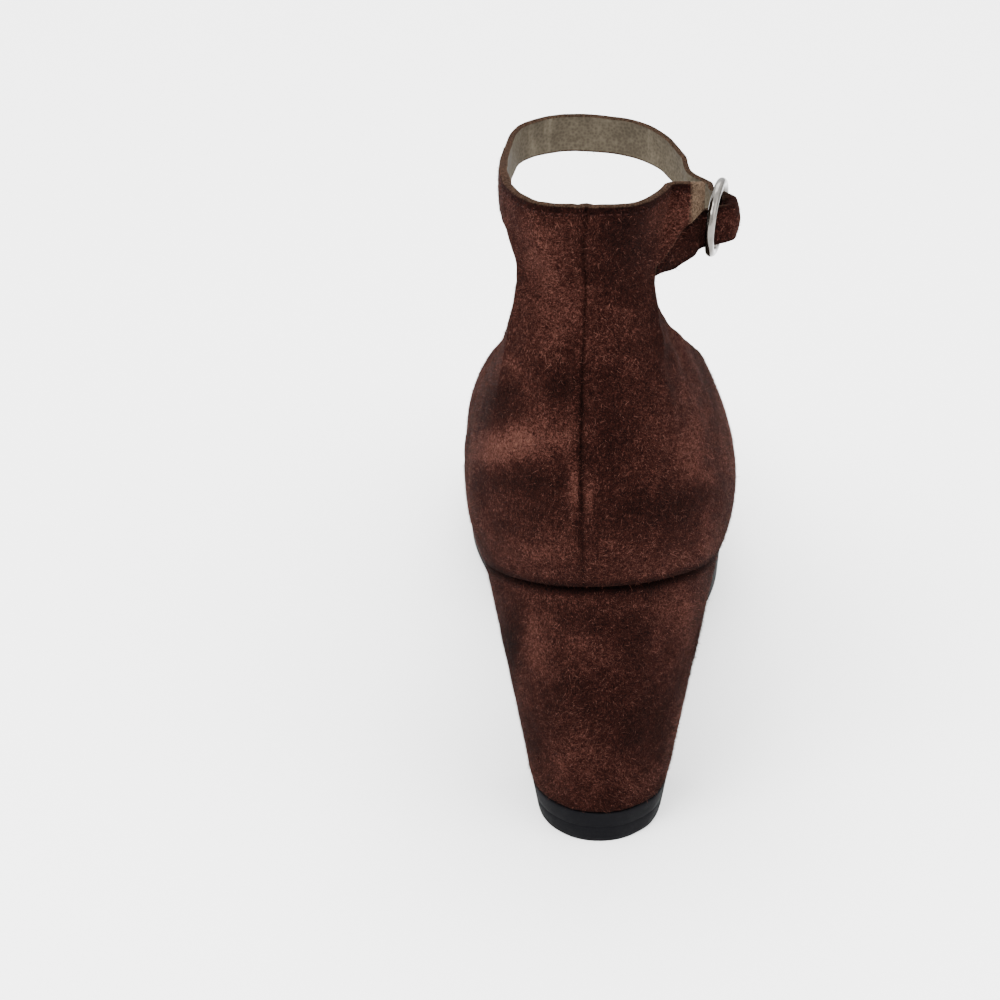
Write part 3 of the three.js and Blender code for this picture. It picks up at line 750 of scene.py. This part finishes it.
def build_upper():
    """Suede skin with its rolled edge, and the lining inside it"""
    surface = upper_surface()
    normal = surface.normals()
    p, marks = surface.points, surface.marks
    station, level = marks["station"], marks["level"]
    body = level < STRAP_LEVEL

    # soft hand of the suede and the creases pressed into it
    relief = 0.10 * ripple(p, 9) + 0.05 * ripple(p, 3.2)
    crinkle = bump_at(p[:, 2], 137, 16) * (np.abs(station) < 20) * smoothstep(np.abs(station), 1.5, 4) * body
    u, v = picture_place(p)
    puckered = bump_at(u, PUCKER[0], PUCKER[2]) * bump_at(v, PUCKER[1], PUCKER[3])
    puckered = puckered * smoothstep(-station, 1.2, 3) * body
    pucker = ripple(p * [0.45, 1, 1.7], 2.6)
    relief += 0.10 * crinkle * ripple(p * [0.5, 1, 1.8], 3.0) + 0.2 * puckered * pucker
    relief += crease_relief(p, normal) * body
    relief *= np.where(level < 1, np.minimum(level / 0.06, 1), 1)
    relief += (STRAP_CROWN * marks["strap"] + LOOP_CROWN * marks["loop"]) * (1 - (2 * marks["across"]) ** 2)
    p = p + normal * relief[:, None]
    surface.points = p
    normal = surface.normals()
    surface.normal = normal

    # rubbed nap and painted highlight; dark nap, dark edges and painted shade
    rub, dark = nap_and_shade_patches(p, normal)
    at_back = body * (p[:, 1] < SEAM_FRONT)
    rub += 0.12 * bump_at(np.abs(station), 2.2, 1.2) * bump_at(p[:, 2], 96, 22) * at_back
    # painted shade in the back seam's groove, weaker towards the collar and low down
    seam = (1 - 0.5 * smoothstep(p[:, 2], 118, 140)) * (0.5 + 0.5 * smoothstep(p[:, 2], 84, 106))
    dark += bump_at(station, 0, SEAM_GROOVE_WIDE) * at_back * seam
    # painted shade in the troughs of the puckers and painted highlight on their ridges
    dark += 0.35 * puckered * np.maximum(-pucker, 0)
    rub += 0.5 * puckered * np.maximum(pucker - 0.5, 0)
    # painted shade along the foot of the wall at the feather line
    dark += 1.1 * np.exp(-(level / 0.02) ** 2) * body
    collar = smoothstep(p[:, 2], 162.6, 163.6) * (p[:, 1] < 22)
    strap_edge = marks["strap"] * smoothstep(np.abs(marks["across"]), 0.36, 0.44)
    # the collar's binding and the strap's edges are dark in their own colour; the strap's free end is
    # darkened as painted shade under the ear
    dark += 0.7 * collar + 0.5 * strap_edge + 0.5 * marks["free"]
    raw = smoothstep(marks["ear"], 0.97, 1.03)
    surface.rub, surface.dark, surface.raw = rub, dark, raw

    # wall thickness: thinner on the strap, and filled where it is folded around the bar
    on_strap = (level >= STRAP_LEVEL) & (level < EAR_LEVEL)
    strap_thick = STRAP_THICK + STRAP_ROOT_EXTRA * bump_at(level, STRAP_LEVEL, 0.2)
    thick = np.where(on_strap, strap_thick, WALL) + LOOP_EXTRA * marks["loop"]

    # rolled edge
    border = surface.border()
    count = len(p)
    tangent = p[border[:, 1]] - p[border[:, 0]]
    away = np.zeros_like(p)
    for k in range(2):
        np.add.at(away, border[:, k], np.cross(tangent, normal[border[:, k]]))
    away /= np.maximum(np.linalg.norm(away, axis=1, keepdims=True), 1e-9)
    edge_ids = np.unique(border)
    local = np.full(count, -1)
    local[edge_ids] = np.arange(len(edge_ids))
    roll = EDGE_ROLL * np.where(level[edge_ids] < 0.01, 0.3, 1.0)
    angles = np.linspace(0, np.pi, EDGE_STEPS + 1)[1:]
    points, faces = [p], [surface.quads]
    below = edge_ids
    for step, angle in enumerate(angles):
        ring = (p[edge_ids] - normal[edge_ids] * (thick[edge_ids] / 2 * (1 - math.cos(angle)))[:, None]
                + away[edge_ids] * (roll * math.sin(angle))[:, None])
        ids = count + step * len(edge_ids) + np.arange(len(edge_ids))
        points.append(ring)
        low, high = below[local[border]], ids[local[border]]
        faces.append(np.stack([low[:, 1], low[:, 0], high[:, 0], high[:, 1]], -1))
        below = ids
    inner = p - normal * thick[:, None]
    folded = marks["loop"][surface.quads].max(1) > 0.1
    points.append(inner)
    faces.append(surface.quads[folded, ::-1] + count + len(angles) * len(edge_ids))
    edge_dark = np.full(len(edge_ids) * len(angles), 0.55)
    flesh = np.where(angles > 2.2, 0.4, 0.26)[:, None] * (1 - marks["loop"][edge_ids])
    mesh_piece(
        "suede_upper", np.vstack(points), np.vstack(faces), SUEDE, "upper",
        {"rub": np.concatenate([rub, np.zeros(len(edge_dark)), rub]),
         "dark": np.concatenate([dark, edge_dark, dark]),
         "raw": np.concatenate([raw, np.maximum(flesh, raw[edge_ids]).reshape(-1), raw])})

    # lasting margin turned under the sock
    side = np.linspace(-TOE_OPENING, TOE_OPENING, MARGIN_STEPS)
    margin = np.stack([feather_point(side, inset) - [0, 0, MARGIN_DROP] for inset in MARGIN_INSETS])
    ids = len(inner) + np.arange(len(margin) * MARGIN_STEPS).reshape(len(margin), MARGIN_STEPS)
    turned = np.stack([ids[:-1, :-1], ids[:-1, 1:], ids[1:, 1:], ids[1:, :-1]], -1).reshape(-1, 4)
    lining_faces = np.vstack([surface.quads[~folded, ::-1], turned])

    # darker towards the foot of the wall, and painted shade on the strap's lining at its root
    wear_and_shade = 0.5 * bump_at(level, 0.0, 0.2) + 0.5 * bump_at(level, 2.0, 0.12)
    wear_and_shade = np.concatenate([wear_and_shade, np.zeros(len(margin) * MARGIN_STEPS)])
    lining_points = np.vstack([inner, margin.reshape(-1, 3)])
    mesh_piece("upper_lining", lining_points, lining_faces, LINING, "upper", {"wear_and_shade": wear_and_shade})
    return surface


UPPER = build_upper()


def add_fibres(name, points, quads, normals, rub, dark, raw, count, node):
    """Loose fibres of the nap, brushed mostly downwards"""
    corners = points[quads]
    area = np.linalg.norm(np.cross(corners[:, 2] - corners[:, 0], corners[:, 3] - corners[:, 1]), axis=1)
    pick = rng.choice(len(quads), count, p=area / area.sum())
    u, v = rng.random((2, count))
    share = np.stack([(1 - u) * (1 - v), u * (1 - v), u * v, (1 - u) * v], 1)
    chosen = quads[pick]
    base = (points[chosen] * share[..., None]).sum(1)
    normal = (normals[chosen] * share[..., None]).sum(1)
    drift = np.stack([ripple(base, 26), ripple(base, 26), ripple(base, 26) - 0.7], 1)
    drift += 0.7 * rng.normal(size=(count, 3))
    drift -= normal * (drift * normal).sum(1, keepdims=True)
    drift /= np.linalg.norm(drift, axis=1, keepdims=True)
    long = rng.random((count, 1)) < LONG_HAIRS
    lift = rng.uniform(0.15, 0.75, (count, 1)) * np.where(long, 0.35, 1)
    length = rng.gamma(5, 0.15, (count, 1)) * np.where(long, LONG_FACTOR, 1)
    strand = (normal * lift + drift * (1 - 0.5 * lift)) * length
    across = np.cross(strand, normal)
    half_width = np.where(long, LONG_HALF_WIDTH, FIBRE_HALF_WIDTH)
    across *= half_width / np.maximum(np.linalg.norm(across, axis=1, keepdims=True), 1e-6)
    base = base - normal * FIBRE_ROOT
    verts = np.stack([base - across, base + across, base + strand], 1).reshape(-1, 3)
    # fibres are painted lighter than the nap under them, a painted highlight of light caught on loose
    # fibres, the pale long hairs most
    tone = (rub[chosen] * share).sum(1) + 0.4 + rng.gamma(1.2, 0.45, count)
    tone += long[:, 0] * np.where(rng.random(count) < DARK_HAIRS, DARK_TONE, PALE_TONE)
    own = np.repeat(tone, 3)
    deep = np.repeat((dark[chosen] * share).sum(1), 3)
    bare = np.repeat((raw[chosen] * share).sum(1), 3)
    mesh_piece(name, verts, np.arange(count * 3).reshape(-1, 3), SUEDE, node,
               {"rub": own, "dark": deep, "raw": bare})


add_fibres("upper_nap", UPPER.points, UPPER.quads, UPPER.normals(), UPPER.rub, UPPER.dark, UPPER.raw,
           UPPER_FIBRES, "upper")


def add_stitches():
    """Row of thread below the collar's edge, from the strap's root to the end of the ear"""
    height = COLLAR - STITCH_DROP
    across = np.linspace(-1, 1, 400)
    neck = neck_point(across, np.full_like(across, height))
    t = np.linspace(0, 1, 60)[1:, None]
    end = np.array([EAR_END[0], EAR_END[1], EAR_END[3] - STITCH_DROP])
    path = np.vstack([neck, neck[-1] + (end - neck[-1]) * t])
    length = np.concatenate([[0], np.cumsum(np.linalg.norm(np.diff(path, axis=0), axis=1))])
    a = np.linspace(0, 2 * np.pi, STITCH_SIDES + 1)[:-1]
    b = np.linspace(-1, 1, STITCH_RINGS)
    points, faces = [], []
    for at in np.arange(STITCH_FIRST, length[-1] - 1, STITCH_PITCH):
        ends = np.array([np.interp([at, at + STITCH_LONG], length, path[:, i]) for i in range(3)]).T
        centre = ends.mean(0)
        near = np.argsort(np.linalg.norm(UPPER.points - centre, axis=1))[:4]
        normal = UPPER.normal[near].mean(0)
        normal /= np.linalg.norm(normal)
        centre = centre + normal * ((UPPER.points[near] - centre) @ normal).mean()
        along = (ends[1] - ends[0]) / 2
        side = np.cross(normal, along)
        side /= np.linalg.norm(side)
        swell = np.sqrt(np.maximum(1 - b**2, 0.02))[:, None, None] * STITCH_RADIUS
        sink = (0.5 * STITCH_RADIUS * b**2)[:, None, None]
        tube = (centre + b[:, None, None] * along - sink * normal
                + swell * (np.cos(a)[None, :, None] * side + (np.sin(a) + 0.4)[None, :, None] * normal))
        ids = np.arange(STITCH_RINGS * STITCH_SIDES).reshape(STITCH_RINGS, STITCH_SIDES)
        ids = ids + sum(map(len, points))
        nxt = np.roll(ids, -1, 1)
        points.append(tube.reshape(-1, 3))
        faces.append(np.stack([ids[:-1], nxt[:-1], nxt[1:], ids[1:]], -1).reshape(-1, 4))
    points = np.vstack(points)
    plain = np.zeros(len(points))
    mesh_piece("collar_stitches", points, np.vstack(faces), THREAD, "upper",
               {"rub": np.full(len(points), 0.1), "dark": plain, "raw": plain})


add_stitches()


def ring_stack(rings):
    """Closed surface through matching rings, capped by rungs across"""
    n = len(rings[0])
    ids = np.arange(len(rings) * n).reshape(len(rings), n)
    nxt = np.roll(ids, -1, axis=1)
    sides = np.stack([ids[:-1], nxt[:-1], nxt[1:], ids[1:]], -1).reshape(-1, 4)
    i = np.arange(n // 2 - 1)
    j = n - 1 - i
    low = np.stack([ids[0][i], ids[0][j], ids[0][j - 1], ids[0][i + 1]], -1)
    high = np.stack([ids[-1][i], ids[-1][i + 1], ids[-1][j - 1], ids[-1][j]], -1)
    return np.vstack(rings), np.vstack([sides, low, high])


# Heel
def heel_ring(level, inset):
    """Outline of the heel at a height, between the foot on the floor and the seat"""
    station = np.linspace(station_at(-1, BREAST_Y), station_at(1, BREAST_Y), HEEL_STEPS)
    seat = feather_point(station, HEEL_INSET + inset)
    seat[:, 2] -= GAP
    foot = np.stack([
        FOOT_CENTRE + seat[:, 0] * FOOT_HALF / SEAT_HALF,
        FOOT_BACK + seat[:, 1] * FOOT_DEPTH / BREAST_Y,
        np.zeros(HEEL_STEPS),
    ], -1)
    z = level(seat[:, 2])
    return foot + (seat - foot) * (z / seat[:, 2])[:, None]


def build_heel_cover():
    """Suede-covered block with its loose fibres"""
    low = LIFT_HEIGHT + GAP
    steps = np.concatenate([
        [0.0, 0.004, 0.012, 0.022], np.linspace(0.034, 0.966, 80), [0.978, 0.988, 0.996, 1.0]])
    soft = np.concatenate([[0.8, 0.35, 0.1, 0.0], np.zeros(80), [0.2, 0.7, 1.5, 2.6]])
    rings = [heel_ring(lambda top, t=t: low + (top - low) * t, inset) for t, inset in zip(steps, soft)]
    points, faces = ring_stack(rings)
    t = np.repeat(steps, HEEL_STEPS)
    centre = points[:, :2] - np.array([0, BREAST_Y / 2])
    out = centre / np.linalg.norm(centre, axis=1, keepdims=True)
    relief = 0.10 * ripple(points, 10) + 0.05 * ripple(points, 3.5)
    relief = relief * np.minimum(np.minimum(t, 1 - t) / 0.05, 1)
    points[:, :2] += out * relief[:, None]
    normal = np.column_stack([out, np.full(len(points), -0.2)])
    rub, dark = nap_and_shade_patches(points, normal / np.linalg.norm(normal, axis=1, keepdims=True))
    # whole cover a little darker, with painted shade along its top edge under the upper and along its bottom
    # edge above the lift
    dark += 0.2 + 1.6 * bump_at(t, 1.0, 0.028) + 0.6 * bump_at(t, 0.0, 0.02)
    raw = np.zeros(len(points))
    mesh_piece("heel_cover", points, faces, SUEDE, "heel_block",
               {"rub": rub, "dark": dark, "raw": raw})
    sides = faces[:(len(steps) - 1) * HEEL_STEPS].reshape(len(steps) - 1, HEEL_STEPS, 4)
    sides = sides[2:-3, :-1].reshape(-1, 4)
    add_fibres("heel_nap", points, sides, normal, rub, dark, raw, HEEL_FIBRES, "heel_block")


def build_top_lift():
    """Two layers of rubber with a groove between them"""
    steps = np.array([0.0, 0.05, 0.4, 1.2, 2.6, 3.9, 4.0, 4.15, 4.3, 4.4, 5.6, 7.0, 7.6, 7.9, LIFT_HEIGHT])
    soft = np.array([0.9, 0.55, 0.2, 0.05, 0.0, 0.0, 0.1, 0.22, 0.1, 0.0, 0.0, 0.0, 0.1, 0.3, 0.7])
    rings = [heel_ring(lambda top, z=z: np.full_like(top, z), inset) for z, inset in zip(steps, soft)]
    points, faces = ring_stack(rings)
    z = np.repeat(steps, HEEL_STEPS)
    mesh_piece("top_lift_rubber", points, faces, BLACK, "top_lift",
               {"scuff": 0.5 * bump_at(z, 0.3, 0.6) * (0.5 + 0.5 * ripple(points, 4))})


build_heel_cover()
build_top_lift()


# Platform and insole
def sole_ring(inset, level, count=160):
    """Outline of the platform at a height between its underside and the feather line"""
    back = BREAST_Y + GAP + PLATFORM_PROUD
    inner = np.linspace(station_at(-1, back), -TOE_TIP, count)
    outer = np.linspace(TOE_TIP, station_at(1, back), count)
    point = feather_point(np.concatenate([inner[:-1], outer[1:]]), inset)
    top = point[:, 2] - GAP
    point[:, 2] = level(underside_height(point[:, 1]), top)
    return point[::-1]


def build_platform():
    """Platform with a rounded tread edge and a drafted wall"""
    rings = []
    for angle in np.linspace(np.pi / 2, 0, 8):
        inset = PLATFORM_DRAFT + PLATFORM_ROUND * (1 - math.cos(angle)) - PLATFORM_PROUD
        height = PLATFORM_ROUND * (1 - math.sin(angle))
        rings.append(sole_ring(inset, lambda low, top, h=height: low + np.minimum(h, (top - low) / 2)))
    for t in np.linspace(0.12, 0.97, 24):
        inset = PLATFORM_DRAFT * (1 - t) - PLATFORM_PROUD

        def wall_height(low, top):
            return low + np.minimum(PLATFORM_ROUND, (top - low) / 2) * (1 - t) + (top - low) * t

        rings.append(sole_ring(inset, wall_height))
    for drop, inset in ((0.35, 0.05), (0.12, 0.3), (0.0, 0.8)):
        rings.append(sole_ring(inset - PLATFORM_PROUD, lambda low, top, d=drop: top - d))
    points, faces = ring_stack(rings)
    scuff = 0.5 * bump_at(points[:, 2], 1.0, 2.0) * (0.5 + 0.5 * ripple(points, 6))
    mesh_piece("platform_rubber", points, faces, BLACK, "platform_sole", {"scuff": scuff})


def build_sock():
    """Sock on the footbed, with a rolled edge and a line pressed beside it"""
    base = WALL + INSOLE_CLEAR
    station = np.concatenate([np.linspace(-1, -TOE_TIP, 180)[:-1], np.linspace(TOE_TIP, 1, 180)[1:]])
    edge = (
        (0.0, 0.0), (0.0, 1.6), (0.15, 2.1), (0.5, 2.4), (1.2, INSOLE),
        (2.6, INSOLE), (2.9, 2.36), (3.2, INSOLE), (6, INSOLE))
    rings = []
    for inset, lift in edge:
        ring = feather_point(station, base + inset)
        ring[:, 2] += lift
        rings.append(ring[::-1])
    points, faces = ring_stack(rings)
    # wear at the heel seat and under the ball
    mesh_piece("sock", points, faces, LINING, "insole",
               {"wear_and_shade": 0.6 * bump_at(points[:, 1], 24, 16) + 0.5 * bump_at(points[:, 1], 178, 20)})


build_platform()
build_sock()


# Ring buckle
def build_ring():
    """Round wire ring with its bar"""
    along = np.array([RING_TURN, -math.sqrt(1 - RING_TURN**2), 0])
    up = np.array([0, 0, 1.0]) + RING_LEAN * np.array([-along[1], along[0], 0])
    up /= np.linalg.norm(up)
    out = np.cross(up, along)
    a = np.linspace(0, 2 * np.pi, RING_STEPS + 1)[:-1]
    b = np.linspace(0, 2 * np.pi, WIRE_STEPS + 1)[:-1]
    cos_b = np.cos(b)[None, :, None]
    sin_b = np.sin(b)[None, :, None]
    centre = RING_RADIUS * (np.cos(a)[:, None] * along + np.sin(a)[:, None] * up)
    radial = centre / RING_RADIUS
    tube = centre[:, None] + RING_WIRE * (cos_b * radial[:, None] + sin_b * out)
    ids = np.arange(RING_STEPS * WIRE_STEPS).reshape(RING_STEPS, WIRE_STEPS)
    onward = np.roll(ids, -1, 0)
    faces = np.stack([ids, onward, np.roll(onward, -1, 1), np.roll(ids, -1, 1)], -1).reshape(-1, 4)
    points = tube.reshape(-1, 3) + RING
    c = np.linspace(-1, 1, BAR_STEPS)
    waist = RING_BAR * (1 + 0.25 * c**6)
    bar = (c[:, None, None] * (RING_RADIUS - 0.2) * up
           + waist[:, None, None] * (cos_b * along + sin_b * out))
    ids = len(points) + np.arange(BAR_STEPS * WIRE_STEPS).reshape(BAR_STEPS, WIRE_STEPS)
    nxt = np.roll(ids, -1, 1)
    more = np.stack([ids[:-1], nxt[:-1], nxt[1:], ids[1:]], -1).reshape(-1, 4)
    points = np.vstack([points, bar.reshape(-1, 3) + RING])
    mesh_piece("ring_buckle", points, np.vstack([faces, more]), SILVER, "buckle")


build_ring()

# Stage, light and camera
bpy.ops.mesh.primitive_plane_add(size=6)
floor = bpy.context.object
floor.name = "studio_floor"
paper = bpy.data.materials.new("pale floor")
paper.use_nodes = True
surface = paper.node_tree.nodes["Principled BSDF"]
surface.inputs["Base Color"].default_value = (0.97, 0.97, 0.97, 1)
surface.inputs["Roughness"].default_value = 0.8
floor.data.materials.append(paper)

world = bpy.data.worlds.new("studio")
bpy.context.scene.world = world
world.use_nodes = True
sky = world.node_tree
sky.nodes["Background"].inputs[0].default_value = (1, 1, 1, 1)
direction = add(sky, "ShaderNodeTexCoord").outputs["Generated"]
height = add(sky, "ShaderNodeSeparateXYZ", Vector=direction).outputs["Z"]
sky.links.new(span(sky, height, 0.0, 0.75, 1.5, 3.9), sky.nodes["Background"].inputs[1])


def lamp(name, place, size, power, target=(0, -0.06, 0.08)):
    """Square lamp turned to the shoe"""
    light = bpy.data.lights.new(name, "AREA")
    light.energy = power
    light.size = size
    holder = bpy.data.objects.new(name, light)
    bpy.context.scene.collection.objects.link(holder)
    holder.location = place
    holder.rotation_euler = (Vector(target) - Vector(place)).to_track_quat("-Z", "Y").to_euler()


lamp("key_light", (-0.5, -0.8, 1.0), 0.7, 22)
lamp("fill_light", (0.8, -0.6, 0.5), 0.8, 8)
lamp("top_light", (0.0, 0.5, 1.2), 0.9, 18)

camera = bpy.data.cameras.new("camera")
camera.lens = FOCAL * SENSOR / PICTURE
camera.sensor_width = SENSOR
eye = bpy.data.objects.new("camera", camera)
bpy.context.scene.collection.objects.link(eye)
eye.location = EYE
eye.rotation_euler = Vector(LOOK_AT - EYE).to_track_quat("-Z", "Y").to_euler()
bpy.context.scene.camera = eye
